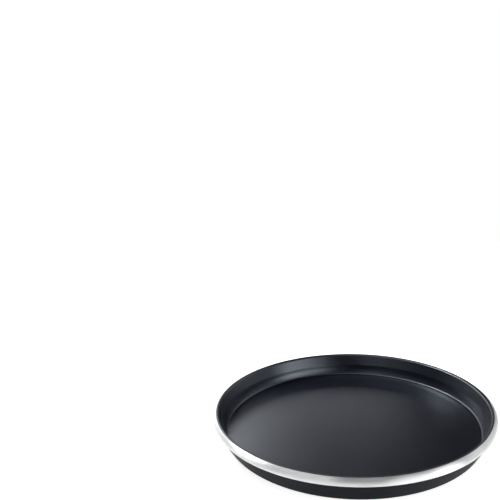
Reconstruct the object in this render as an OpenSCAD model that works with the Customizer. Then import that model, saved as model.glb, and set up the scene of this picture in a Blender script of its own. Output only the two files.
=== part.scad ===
// Microwave crisp plate: an aluminium pan drawn from one sheet, with a ferrite rubber layer bonded under it.
// The origin is the middle of the flat underside, +Z up. Sections are drawn with X as radius and Y as height.

/* [Plate] */
// Diameter over the widest point of the rolled rim
rim_d = 270; // [250:5:320]
// Height from the flat underside to the top of the rim
plate_h = 28; // [27:0.5:32]

/* [Pan] */
// Thickness of the drawn aluminium sheet
sheet_t = 1.2; // [0.8:0.1:1.4]
// Radius inside the pan of the tight bend between the floor and the wall
corner_r = 2.2; // [1.6:0.2:3]
// Lean of the curved lower wall from the vertical at its foot, in degrees
foot_lean = 28; // [26:1:30]
// Lean of the lower wall at its top, just under the crease
lower_lean = 6; // [4:1:8]
// Lean of the flared upper wall
upper_lean = 22; // [19:1:24]
// Height of the crease between the lower and the upper wall, above the underside
crease_h = 17; // [16:0.5:18]
// Radius of that crease, on the food side
crease_r = 3; // [2:0.5:5]

/* [Rolled rim] */
// Outside radius of the roll that ends the sheet
roll_r = 4.4; // [4:0.1:4.8]
// Outside radius of the tighter bend at the top of the wall
crown_r = 2.4; // [2:0.1:2.8]
// Angle up from the roll's widest point to where the black coating ends and the bare lip begins
bare_from = 74; // [65:1:80]
// Angle down from the roll's widest point to the cut edge of the lip
roll_end = 43; // [35:1:50]

/* [Ferrite layer] */
// Thickness of the layer under the floor
layer_t = 6; // [5.4:0.1:6.4]
// Least thickness of the layer, where its side passes the pan's corner
side_t = 1.7; // [1.2:0.1:2.2]
// Radius between the underside and the leaning side
base_corner_r = 8.5; // [7:0.5:9.5]
// How far the lip's cut edge stands proud of the layer's side
lip_step = 0.4; // [0.2:0.1:0.8]
// Height that the layer reaches up behind the lip, above the inner corner of the lip's cut edge
tongue_h = 1.5; // [0.8:0.1:2]

/* [Hidden] */
$fn = 180;

// Largest turn between two points of a round stretch, in degrees
arc_step = 6;

floor_h = layer_t + sheet_t;

// Centres of the section's round stretches, as [radius, height]
roll_c = [rim_d / 2 - roll_r, plate_h - crown_r - (roll_r - crown_r) * sin(bare_from)];
crown_c = roll_c + (roll_r - crown_r) * ray(bare_from);
crease_c = [wall_radius(crease_h, 0), crease_h] + crease_r * ray(-(lower_lean + upper_lean) / 2)
    / cos((upper_lean - lower_lean) / 2);

// The lower wall is one arc from the crease to the corner bend, tangent to both
wall_top = crease_c + crease_r * ray(180 - lower_lean);
wall_foot_h = floor_h + corner_r * (1 - sin(foot_lean));
wall_r = (wall_top.y - wall_foot_h) / (sin(foot_lean) - sin(lower_lean));
wall_c = wall_top - wall_r * ray(-lower_lean);
corner_c = wall_c + (wall_r - corner_r) * ray(-foot_lean);

// Unit vector at an angle
function ray(angle) = [cos(angle), sin(angle)];

// Points of an arc about a centre, from one angle to another
function arc(centre, radius, from, to) =
    let (steps = ceil(abs(to - from) / arc_step))
    [for (i = [0:steps]) centre + radius * ray(from + (to - from) * i / steps)];

// Radius of the upper wall's face at a height, for the face that lies depth below the food side
function wall_radius(height, depth) =
    let (top = crown_c + (crown_r - depth) * ray(180 - upper_lean))
    top.x - (top.y - height) * tan(upper_lean);

// The sheet's lower wall from the floor's edge to the crease, on the face that lies depth below the food side
function lower_wall(depth) = concat(
    arc(corner_c, corner_r + depth, -90, -foot_lean),
    arc(wall_c, wall_r + depth, -foot_lean, -lower_lean),
    arc(crease_c, crease_r - depth, 180 - lower_lean, 180 - upper_lean)
);

// The sheet's rim from the top of the wall to the cut edge, on the same face
function rim(depth) = concat(
    arc(crown_c, crown_r - depth, 180 - upper_lean, bare_from),
    arc(roll_c, roll_r - depth, bare_from, -roll_end)
);

// One face of the whole sheet, from the middle of the floor to the cut edge of the lip
function sheet_face(depth) = concat([[0, floor_h - depth]], lower_wall(depth), rim(depth));

function reversed(points) = [for (i = [len(points) - 1:-1:0]) points[i]];

// The layer's side starts on the lip's cut edge and passes the pan's corner at the layer's least thickness
shoulder = roll_c + (roll_r - lip_step) * ray(-roll_end);
side_reach = shoulder - corner_c;
side_r = corner_r + sheet_t + side_t;
side_lean = acos(side_r / norm(side_reach)) - atan2(side_reach.y, side_reach.x);

// Centre of the round between that side and the flat underside
side_out = ray(-side_lean);
base_corner_c = [(corner_c * side_out + side_r - base_corner_r * (1 + side_out.y)) / side_out.x, base_corner_r];

// Height of the tongue's top, and a path through the middle of the sheet that the layer is drawn up to
tongue_top = roll_c.y - (roll_r - sheet_t) * sin(roll_end) + tongue_h;
mid_sheet = sheet_t / 2;
mid_roll_r = roll_r - mid_sheet;

// Section of the drawn sheet
module sheet_section() {
    polygon(concat(sheet_face(0), reversed(sheet_face(sheet_t))));
}

// Outline of the layer, as far as the middle of the sheet that it is moulded against
module layer_outline() {
    polygon(concat(
        [[0, 0]],
        arc(base_corner_c, base_corner_r, -90, -side_lean),
        [shoulder],
        [roll_c + mid_roll_r * ray(-roll_end)],
        [roll_c + mid_roll_r * ray(asin((tongue_top - roll_c.y) / mid_roll_r))],
        [[wall_radius(tongue_top, mid_sheet), tongue_top]],
        reversed(lower_wall(mid_sheet)),
        [[0, floor_h - mid_sheet]]
    ));
}

// Drawn sheet: floor, leaning wall with its crease, and the rim rolled out and down into the bare lip
module pan() {
    color("#2b2d33")
        rotate_extrude()
            sheet_section();
}

// Ferrite rubber moulded to the underside and side of the pan, with its tongue seated behind the lip
module ferrite_base() {
    color("#1d1f24")
        rotate_extrude()
            difference() {
                layer_outline();
                sheet_section();
            }
}

pan();
ferrite_base();
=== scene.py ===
"""Microwave crisp plate in a soft studio: black coated pan, bare turned lip and ferrite layer."""

import math

import bpy
from mathutils import Matrix, Vector


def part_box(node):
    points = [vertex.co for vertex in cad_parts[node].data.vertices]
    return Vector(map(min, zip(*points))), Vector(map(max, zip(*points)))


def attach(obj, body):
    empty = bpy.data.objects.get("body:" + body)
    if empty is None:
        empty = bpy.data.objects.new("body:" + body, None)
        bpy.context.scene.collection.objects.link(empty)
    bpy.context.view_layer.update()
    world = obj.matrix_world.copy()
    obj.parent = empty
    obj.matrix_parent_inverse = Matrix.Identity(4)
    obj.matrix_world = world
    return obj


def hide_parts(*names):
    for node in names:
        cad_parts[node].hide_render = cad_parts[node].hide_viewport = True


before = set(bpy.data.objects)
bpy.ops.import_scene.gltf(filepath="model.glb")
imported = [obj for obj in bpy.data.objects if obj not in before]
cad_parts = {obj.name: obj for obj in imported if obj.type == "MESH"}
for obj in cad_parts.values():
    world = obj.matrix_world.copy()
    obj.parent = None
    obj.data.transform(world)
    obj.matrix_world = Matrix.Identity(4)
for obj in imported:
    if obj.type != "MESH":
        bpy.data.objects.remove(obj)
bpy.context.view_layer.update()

MM = 0.001

# Sizes of the section, as in the CAD source. The rim's radius, the plate's height and the layer's
# thickness come from the pan's bounds in model.glb.
RIM_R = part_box("pan")[1].x
PLATE_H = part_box("pan")[1].z
SHEET_T = 1.2 * MM
LAYER_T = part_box("pan")[0].z
CORNER_R = 2.2 * MM
FOOT_LEAN = 28.0
LOWER_LEAN = 6.0
UPPER_LEAN = 22.0
CREASE_H = 17.0 * MM
CREASE_R = 3.0 * MM
ROLL_R = 4.4 * MM
CROWN_R = 2.4 * MM
BARE_FROM = 74.0
ROLL_END = 43.0
SIDE_T = 1.7 * MM
BASE_CORNER_R = 8.5 * MM
LIP_STEP = 0.4 * MM
TONGUE_H = 1.5 * MM

# How finely the round pieces are turned. SUPPORT is how far a support ring lies from its edge, and
# a point nearer the axis than ON_AXIS is on it.
ROUND_STEPS = 480
ARC_STEP = 4.0
SUPPORT = 0.25 * MM
FLOOR_RINGS = 6
SHARP_ANGLE = 30.0
ON_AXIS = 1e-9

# The camera, solved from the ellipses of the rim, lip and base in the photograph
PHOTO_SIZE = 500
CAMERA_DISTANCE = 0.72
CAMERA_ELEVATION = 27.5
CAMERA_ROLL = 0.83
FOCAL_PX = 703.9
BASE_PIXEL = (351.7, 430.5)
SENSOR = 36.0

# The range in which most of a noise texture's values lie
NOISE_LOW = 0.3
NOISE_HIGH = 0.7

# The lip's turning rings: how far apart they are, and how much each may lean
RING_PITCH = 0.2 * MM
RING_SLOPE = 0.12

# The room's light, the low white backdrop behind the plate that gloss shows, as parts of a unit
# direction, and the floor with the white that it shows the camera
ROOM_LIGHT = 0.02
BACKDROP_TOP = 0.1
BACKDROP_FROM = 0.2
BACKDROP_FULL = 0.9
FLOOR_FILL = 0.86
FLOOR_SIZE = 1.6
FLOOR_DROP = 0.2 * MM


def ray(angle):
    """Unit vector in the section plane, at an angle in degrees."""
    a = math.radians(angle)
    return Vector((math.cos(a), math.sin(a)))


def arc(centre, radius, start, end):
    """Points of a round stretch of the section."""
    steps = max(1, math.ceil(abs(end - start) / ARC_STEP))
    return [centre + radius * ray(start + (end - start) * i / steps) for i in range(steps + 1)]


def straight(a, b):
    """Two points just inside a straight stretch, which keep its shading flat."""
    along = (b - a).normalized() * SUPPORT
    return [a + along, b - along]


# Centres of the section's round stretches, as radius and height
ROLL_C = Vector((RIM_R - ROLL_R, PLATE_H - CROWN_R - (ROLL_R - CROWN_R) * ray(BARE_FROM).y))
CROWN_C = ROLL_C + (ROLL_R - CROWN_R) * ray(BARE_FROM)


def wall_radius(height, depth):
    """Radius of the upper wall at a height, on the face that lies depth below the food side."""
    top = CROWN_C + (CROWN_R - depth) * ray(180 - UPPER_LEAN)
    return top.x - (top.y - height) * math.tan(math.radians(UPPER_LEAN))


HALF_CREASE = math.radians((UPPER_LEAN - LOWER_LEAN) / 2)
CREASE_OUT = ray(-(LOWER_LEAN + UPPER_LEAN) / 2)
CREASE_C = Vector((wall_radius(CREASE_H, 0), CREASE_H)) + CREASE_R * CREASE_OUT / math.cos(HALF_CREASE)

# The lower wall is one arc from the crease to the bend at the floor
WALL_TOP = CREASE_C + CREASE_R * ray(180 - LOWER_LEAN)
WALL_FOOT_H = LAYER_T + SHEET_T + CORNER_R * (1 + ray(-FOOT_LEAN).y)
WALL_R = (WALL_TOP.y - WALL_FOOT_H) / (ray(-LOWER_LEAN).y - ray(-FOOT_LEAN).y)
WALL_C = WALL_TOP - WALL_R * ray(-LOWER_LEAN)
CORNER_C = WALL_C + (WALL_R - CORNER_R) * ray(-FOOT_LEAN)


def floor_rings(radius, height):
    """Rings of the flat floor or underside, from near the middle to just inside its edge."""
    return [Vector((radius * i / FLOOR_RINGS, height)) for i in range(FLOOR_RINGS)] + [
        Vector((radius - SUPPORT, height))
    ]


def lower_wall(depth):
    """The sheet's lower wall from the floor's edge to the crease, on one face."""
    corner = arc(CORNER_C, CORNER_R + depth, -90, -FOOT_LEAN)
    wall = arc(WALL_C, WALL_R + depth, -FOOT_LEAN, -LOWER_LEAN)
    crease = arc(CREASE_C, CREASE_R - depth, 180 - LOWER_LEAN, 180 - UPPER_LEAN)
    return corner + wall[1:-1] + crease


def coated_face(depth):
    """One face of the coated sheet, from the middle of the floor to where the bare lip begins."""
    wall = lower_wall(depth)
    crown = arc(CROWN_C, CROWN_R - depth, 180 - UPPER_LEAN, BARE_FROM)
    return floor_rings(wall[0].x, wall[0].y) + wall + straight(wall[-1], crown[0]) + crown


def lathe(name, outline):
    """A closed piece turned about Z from an outline of radius and height.

    The outline starts and ends on the axis, or closes on itself.
    """
    verts, rings = [], []
    for p in outline:
        if p.x < ON_AXIS:
            rings.append([len(verts)])
            verts.append((0.0, 0.0, p.y))
            continue
        rings.append(list(range(len(verts), len(verts) + ROUND_STEPS)))
        for i in range(ROUND_STEPS):
            a = 2 * math.pi * i / ROUND_STEPS
            verts.append((p.x * math.cos(a), p.x * math.sin(a), p.y))
    faces = []
    count = len(rings)
    for k in range(count):
        low, high = rings[k], rings[(k + 1) % count]
        if len(low) == 1 and len(high) == 1:
            continue
        for i in range(ROUND_STEPS):
            j = (i + 1) % ROUND_STEPS
            if len(low) == 1:
                faces.append((low[0], high[j], high[i]))
            elif len(high) == 1:
                faces.append((low[i], low[j], high[0]))
            else:
                faces.append((low[i], low[j], high[j], high[i]))
    mesh = bpy.data.meshes.new(name)
    mesh.from_pydata(verts, [], faces)
    mesh.validate()
    mesh.shade_smooth()
    mesh.set_sharp_from_angle(angle=math.radians(SHARP_ANGLE))
    piece = bpy.data.objects.new(name, mesh)
    bpy.context.scene.collection.objects.link(piece)
    return piece


def pan_outline():
    """The coated sheet: the food side, then back along the underside."""
    return coated_face(0) + list(reversed(coated_face(SHEET_T)))


def lip_outline():
    """The bare part of the roll, from the coating's edge to the cut edge."""
    outside = arc(ROLL_C, ROLL_R, BARE_FROM, -ROLL_END)
    inside = arc(ROLL_C, ROLL_R - SHEET_T, -ROLL_END, BARE_FROM)
    return outside + inside


def layer_outline():
    """The ferrite layer: underside, side, tongue behind the lip, and the pan's own underside."""
    shoulder = ROLL_C + (ROLL_R - LIP_STEP) * ray(-ROLL_END)
    reach = shoulder - CORNER_C
    side_r = CORNER_R + SHEET_T + SIDE_T
    side_lean = math.degrees(math.acos(side_r / reach.length) - math.atan2(reach.y, reach.x))
    out = ray(-side_lean)
    base_corner_x = (CORNER_C.dot(out) + side_r - BASE_CORNER_R * (1 + out.y)) / out.x
    base_corner = Vector((base_corner_x, BASE_CORNER_R))
    round_base = arc(base_corner, BASE_CORNER_R, -90, -side_lean)
    hidden = ROLL_R - SHEET_T
    tongue_top = ROLL_C.y - hidden * math.sin(math.radians(ROLL_END)) + TONGUE_H
    tongue_angle = math.degrees(math.asin((tongue_top - ROLL_C.y) / hidden))
    return (
        floor_rings(round_base[0].x, 0.0)
        + round_base
        + straight(round_base[-1], shoulder)
        + [shoulder]
        + arc(ROLL_C, hidden, -ROLL_END, tongue_angle)
        + [Vector((wall_radius(tongue_top, SHEET_T), tongue_top))]
        + list(reversed(lower_wall(SHEET_T)))
        + [Vector((0.0, LAYER_T))]
    )


# Materials


class Nodes:
    """A short way to write a material's or the world's node tree."""

    def __init__(self, owner):
        owner.use_nodes = True
        self.tree = owner.node_tree
        self.tree.nodes.clear()

    def add(self, kind, inputs=None, **settings):
        node = self.tree.nodes.new(kind)
        for key, value in settings.items():
            setattr(node, key, value)
        for key, value in (inputs or {}).items():
            if isinstance(value, bpy.types.NodeSocket):
                self.tree.links.new(value, node.inputs[key])
            else:
                node.inputs[key].default_value = value
        return node

    def math(self, operation, a, b=0.0):
        return self.add("ShaderNodeMath", {0: a, 1: b}, operation=operation).outputs[0]

    def noise(self, place, scale, detail, roughness=0.5):
        inputs = {"Vector": place, "Scale": scale, "Detail": detail, "Roughness": roughness}
        return self.add("ShaderNodeTexNoise", inputs).outputs["Fac"]

    def bump(self, height, strength, distance):
        inputs = {"Height": height, "Strength": strength, "Distance": distance}
        return self.add("ShaderNodeBump", inputs).outputs["Normal"]

    def ramp(self, value, low, high, to_low=0.0, to_high=1.0):
        node = self.add(
            "ShaderNodeMapRange",
            {"Value": value, "From Min": low, "From Max": high, "To Min": to_low, "To Max": to_high},
            interpolation_type="SMOOTHSTEP",
        )
        return node.outputs["Result"]


def coating_material():
    """Satin black non-stick coating, with a fine orange-peel grain and faint changes of gloss."""
    material = bpy.data.materials.new("satin_black_coating")
    n = Nodes(material)
    place = n.add("ShaderNodeTexCoord").outputs["Object"]
    grain = n.noise(place, 700.0, 3.0, 0.6)
    cloud = n.noise(place, 22.0, 3.0, 0.55)
    rough = n.ramp(cloud, NOISE_LOW, NOISE_HIGH, 0.285, 0.32)
    bump = n.bump(grain, 0.5, 0.25 * MM)
    shader = n.add(
        "ShaderNodeBsdfPrincipled",
        {
            "Base Color": (0.0008, 0.0016, 0.0060, 1.0),
            "Roughness": rough,
            "IOR": 1.6,
            "Specular IOR Level": 0.85,
            "Specular Tint": (0.78, 0.86, 1.0, 1.0),
            "Normal": bump,
        },
    )
    n.add("ShaderNodeOutputMaterial", {"Surface": shader.outputs["BSDF"]})
    return material


def lip_material():
    """Bare aluminium turned on a lathe, so that lights smear across its fine rings.

    The anisotropic roughness makes the smear, and each ring leans a little its own way.
    """
    material = bpy.data.materials.new("turned_aluminium")
    n = Nodes(material)
    place = n.add("ShaderNodeTexCoord").outputs["Object"]
    flat = n.add("ShaderNodeVectorMath", {0: place, 1: (1.0, 1.0, 0.0)}, operation="MULTIPLY")
    radius = n.add("ShaderNodeVectorMath", {0: flat.outputs[0]}, operation="LENGTH").outputs["Value"]
    height = n.add("ShaderNodeSeparateXYZ", {"Vector": place}).outputs["Z"]
    up = n.math("SUBTRACT", height, ROLL_C.y)
    out = n.math("SUBTRACT", radius, ROLL_C.x)
    along = n.math("MULTIPLY", n.math("ARCTAN2", up, out), ROLL_R)
    ring = n.math("FLOOR", n.math("DIVIDE", along, RING_PITCH))
    chance = n.add("ShaderNodeTexWhiteNoise", {"W": ring}, noise_dimensions="1D").outputs["Value"]
    slope = n.ramp(chance, 0.0, 1.0, -RING_SLOPE, RING_SLOPE)
    tangent = n.add("ShaderNodeTangent", direction_type="RADIAL", axis="Z").outputs["Tangent"]
    normal = n.add("ShaderNodeNewGeometry").outputs["Normal"]
    across = n.add("ShaderNodeVectorMath", {0: normal, 1: tangent}, operation="CROSS_PRODUCT")
    lean = n.add("ShaderNodeVectorMath", {0: across.outputs[0], "Scale": slope}, operation="SCALE")
    leaning = n.add("ShaderNodeVectorMath", {0: normal, 1: lean.outputs[0]}, operation="ADD")
    leaning = n.add("ShaderNodeVectorMath", {0: leaning.outputs[0]}, operation="NORMALIZE")
    cloud = n.noise(place, 90.0, 2.0)
    rough = n.ramp(cloud, NOISE_LOW, NOISE_HIGH, 0.40, 0.44)
    shader = n.add(
        "ShaderNodeBsdfPrincipled",
        {
            "Base Color": (0.8, 0.805, 0.81, 1.0),
            "Metallic": 1.0,
            "Roughness": rough,
            "Anisotropic": 1.0,
            "Anisotropic Rotation": 0.25,
            "Tangent": tangent,
            "Normal": leaning.outputs[0],
        },
    )
    n.add("ShaderNodeOutputMaterial", {"Surface": shader.outputs["BSDF"]})
    return material


def rubber_material():
    """Moulded ferrite rubber, duller than the coating."""
    material = bpy.data.materials.new("moulded_ferrite_rubber")
    n = Nodes(material)
    place = n.add("ShaderNodeTexCoord").outputs["Object"]
    grain = n.noise(place, 900.0, 2.0)
    cloud = n.noise(place, 30.0, 3.0)
    rough = n.ramp(cloud, NOISE_LOW, NOISE_HIGH, 0.48, 0.54)
    bump = n.bump(grain, 0.3, 0.1 * MM)
    shader = n.add(
        "ShaderNodeBsdfPrincipled",
        {
            "Base Color": (0.0036, 0.0042, 0.0070, 1.0),
            "Roughness": rough,
            "IOR": 1.5,
            "Specular IOR Level": 0.05,
            "Specular Tint": (0.68, 0.79, 1.0, 1.0),
            "Normal": bump,
        },
    )
    n.add("ShaderNodeOutputMaterial", {"Surface": shader.outputs["BSDF"]})
    return material


# Camera, stage and lights


def make_camera():
    """Turns the camera, without shift, so that the middle of the underside falls on its pixel."""
    elevation = math.radians(CAMERA_ELEVATION)
    roll = math.radians(CAMERA_ROLL)
    to_base = Vector((0.0, math.cos(elevation), -math.sin(elevation)))
    side = to_base.cross(Vector((math.sin(roll), 0.0, math.cos(roll)))).normalized()
    world_axes = Matrix((side, side.cross(to_base), to_base)).transposed()
    across = (BASE_PIXEL[0] - PHOTO_SIZE / 2) / FOCAL_PX
    up = (PHOTO_SIZE / 2 - BASE_PIXEL[1]) / FOCAL_PX
    in_view = Vector((across, up, -1.0)).normalized()
    view_side = in_view.cross(Vector((0.0, 1.0, 0.0))).normalized()
    view_axes = Matrix((view_side, view_side.cross(in_view), in_view)).transposed()
    data = bpy.data.cameras.new("camera")
    data.sensor_width = SENSOR
    data.lens = SENSOR * FOCAL_PX / PHOTO_SIZE
    camera = bpy.data.objects.new("camera", data)
    turn = (world_axes @ view_axes.transposed()).to_4x4()
    camera.matrix_world = Matrix.Translation(-CAMERA_DISTANCE * to_base) @ turn
    bpy.context.scene.collection.objects.link(camera)
    bpy.context.scene.camera = camera


def area_lamp(name, width, height, strength, out, location):
    """A rectangular lamp at a place, which shines against the direction out.

    A strength of 1 looks white.
    """
    data = bpy.data.lights.new(name, "AREA")
    data.shape = "RECTANGLE"
    data.size = width
    data.size_y = height
    data.energy = strength * math.pi * data.size * data.size_y
    lamp = bpy.data.objects.new(name, data)
    lamp.location = location
    lamp.rotation_euler = (-out).to_track_quat("-Z", "Y").to_euler()
    lamp.visible_camera = False
    bpy.context.scene.collection.objects.link(lamp)


def span(distance, angle):
    """How wide an angle is at a distance."""
    return 2 * distance * math.tan(math.radians(angle / 2))


def softbox(name, azimuth, elevation, distance, width, height, strength):
    """A lamp that faces the plate, as wide and high as the angles that it fills from there.

    Azimuth 0 is behind the plate and 90 is to its right.
    """
    a, e = math.radians(azimuth), math.radians(elevation)
    out = Vector((math.sin(a) * math.cos(e), math.cos(a) * math.cos(e), math.sin(e)))
    area_lamp(name, span(distance, width), span(distance, height), strength, out, out * distance)


def wall_panel(name, azimuth_from, azimuth_to, distance, low, high, strength):
    """An upright lamp like the wall of a light tent, between two azimuths and two heights."""
    a = math.radians((azimuth_from + azimuth_to) / 2)
    out = Vector((math.sin(a), math.cos(a), 0.0))
    middle = out * distance + Vector((0.0, 0.0, (low + high) / 2))
    area_lamp(name, span(distance, azimuth_to - azimuth_from), high - low, strength, out, middle)


def make_world():
    """White to the camera, a low white backdrop to gloss, and a dim room to everything else."""
    world = bpy.data.worlds.new("studio")
    bpy.context.scene.world = world
    n = Nodes(world)
    path = n.add("ShaderNodeLightPath")
    mirrored = n.math("MAXIMUM", path.outputs["Is Glossy Ray"], path.outputs["Is Transmission Ray"])
    toward = n.add("ShaderNodeTexCoord").outputs["Generated"]
    direction = n.add("ShaderNodeSeparateXYZ", {"Vector": toward})
    low = n.ramp(direction.outputs["Z"], 0.0, BACKDROP_TOP, 1.0, 0.0)
    behind = n.ramp(direction.outputs["Y"], BACKDROP_FROM, BACKDROP_FULL)
    backdrop = n.math("MULTIPLY", n.math("MULTIPLY", low, behind), mirrored)
    white = n.math("MAXIMUM", path.outputs["Is Camera Ray"], backdrop)
    level = n.math("MAXIMUM", white, ROOM_LIGHT)
    background = n.add("ShaderNodeBackground", {"Color": (1.0, 1.0, 1.0, 1.0), "Strength": level})
    n.add("ShaderNodeOutputWorld", {"Surface": background.outputs["Background"]})


def floor_material():
    """Pale floor that shows white where nothing shades it."""
    material = bpy.data.materials.new("floor")
    n = Nodes(material)
    path = n.add("ShaderNodeLightPath")
    seen = n.math("MAXIMUM", path.outputs["Is Camera Ray"], path.outputs["Is Glossy Ray"])
    seen = n.math("MAXIMUM", seen, path.outputs["Is Transmission Ray"])
    pale = n.add("ShaderNodeBsdfDiffuse", {"Color": (0.8, 0.8, 0.8, 1.0)})
    fill = n.add("ShaderNodeEmission", {"Strength": n.math("MULTIPLY", seen, FLOOR_FILL)})
    both = n.add("ShaderNodeAddShader", {0: pale.outputs[0], 1: fill.outputs[0]})
    n.add("ShaderNodeOutputMaterial", {"Surface": both.outputs[0]})
    return material


def make_floor():
    """A square floor, just under the plate."""
    mesh = bpy.data.meshes.new("floor")
    s = FLOOR_SIZE / 2
    mesh.from_pydata([(-s, -s, 0), (s, -s, 0), (s, s, 0), (-s, s, 0)], [], [(0, 1, 2, 3)])
    floor = bpy.data.objects.new("floor", mesh)
    floor.location.z = -FLOOR_DROP
    mesh.materials.append(floor_material())
    bpy.context.scene.collection.objects.link(floor)


make_camera()

coating = lathe("pan_coating", pan_outline())
coating.data.materials.append(coating_material())
lip = lathe("pan_bare_lip", lip_outline())
lip.data.materials.append(lip_material())
rubber = lathe("ferrite_base_rubber", layer_outline())
rubber.data.materials.append(rubber_material())
for piece, node, slot in (
    (coating, "pan", "nonstick_coating"),
    (lip, "pan", "bare_lip"),
    (rubber, "ferrite_base", "ferrite_rubber"),
):
    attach(piece, "root")
    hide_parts(node)

make_world()
make_floor()

# Azimuth, elevation, distance, width and height as angles, strength
softbox("key", 300, 48, 1.0, 18, 14, 20.0)
softbox("left_tall", 300, 30, 0.6, 20, 30, 1.0)
softbox("back_left_tall", 320, 25, 0.6, 24, 30, 1.9)
softbox("back_left", 328, 18, 0.5, 20, 14, 1.9)
softbox("back_side", 335, 25, 0.6, 24, 30, 0.35)
softbox("back_panel", 350, 18, 1.0, 34, 14, 1.0)
softbox("right_back", 75, 32, 1.0, 18, 14, 1.2)
softbox("right_back_far", 40, 32, 1.0, 18, 14, 1.2)
softbox("right_high", 125, 20, 1.0, 20, 12, 2.0)
softbox("right_front_high", 140, 20, 1.0, 20, 12, 2.0)
softbox("right_front_low", 149, 8, 1.0, 12, 8, 5.0)
softbox("right_near", 116, 6, 0.5, 18, 12, 5.5)
softbox("left_near", 215, 6, 0.5, 18, 12, 0.5)
softbox("front_top", 180, 70, 1.0, 30, 30, 0.8)
softbox("front_right_top", 145, 60, 1.0, 30, 30, 0.25)

# First and last azimuth, distance, lowest and highest edge, strength
wall_panel("left_wall_back", 262, 300, 0.9, 0.35, 1.2, 0.1)
wall_panel("left_wall", 230, 262, 0.9, 0.35, 1.2, 0.25)
wall_panel("left_wall_front", 204.2, 230, 0.9, 0.35, 1.2, 0.4)
wall_panel("left_strip", 199.1, 202.4, 0.9, 0.35, 1.2, 2.0)
wall_panel("left_thin_strip", 195.5, 197.3, 0.9, 0.35, 1.2, 2.0)
wall_panel("left_high_back", 262, 300, 0.9, 1.2, 4.0, 2.0)
wall_panel("left_high", 230, 262, 0.9, 1.2, 4.0, 2.0)
wall_panel("left_high_front", 205, 230, 0.9, 1.2, 4.0, 1.2)
wall_panel("right_wall_back", 88, 110, 0.9, 0.02, 1.2, 0.25)
wall_panel("right_wall", 110, 128.5, 0.9, 0.02, 0.35, 3.2)
wall_panel("right_strip", 130.4, 133.7, 1.0, 0.02, 0.21, 5.0)
wall_panel("right_wide_strip", 137, 144, 1.0, 0.02, 0.21, 5.0)
wall_panel("right_back_wall", 30, 86, 0.9, 0.02, 1.2, 0.5)

scene = bpy.context.scene
scene.view_settings.view_transform = "Standard"
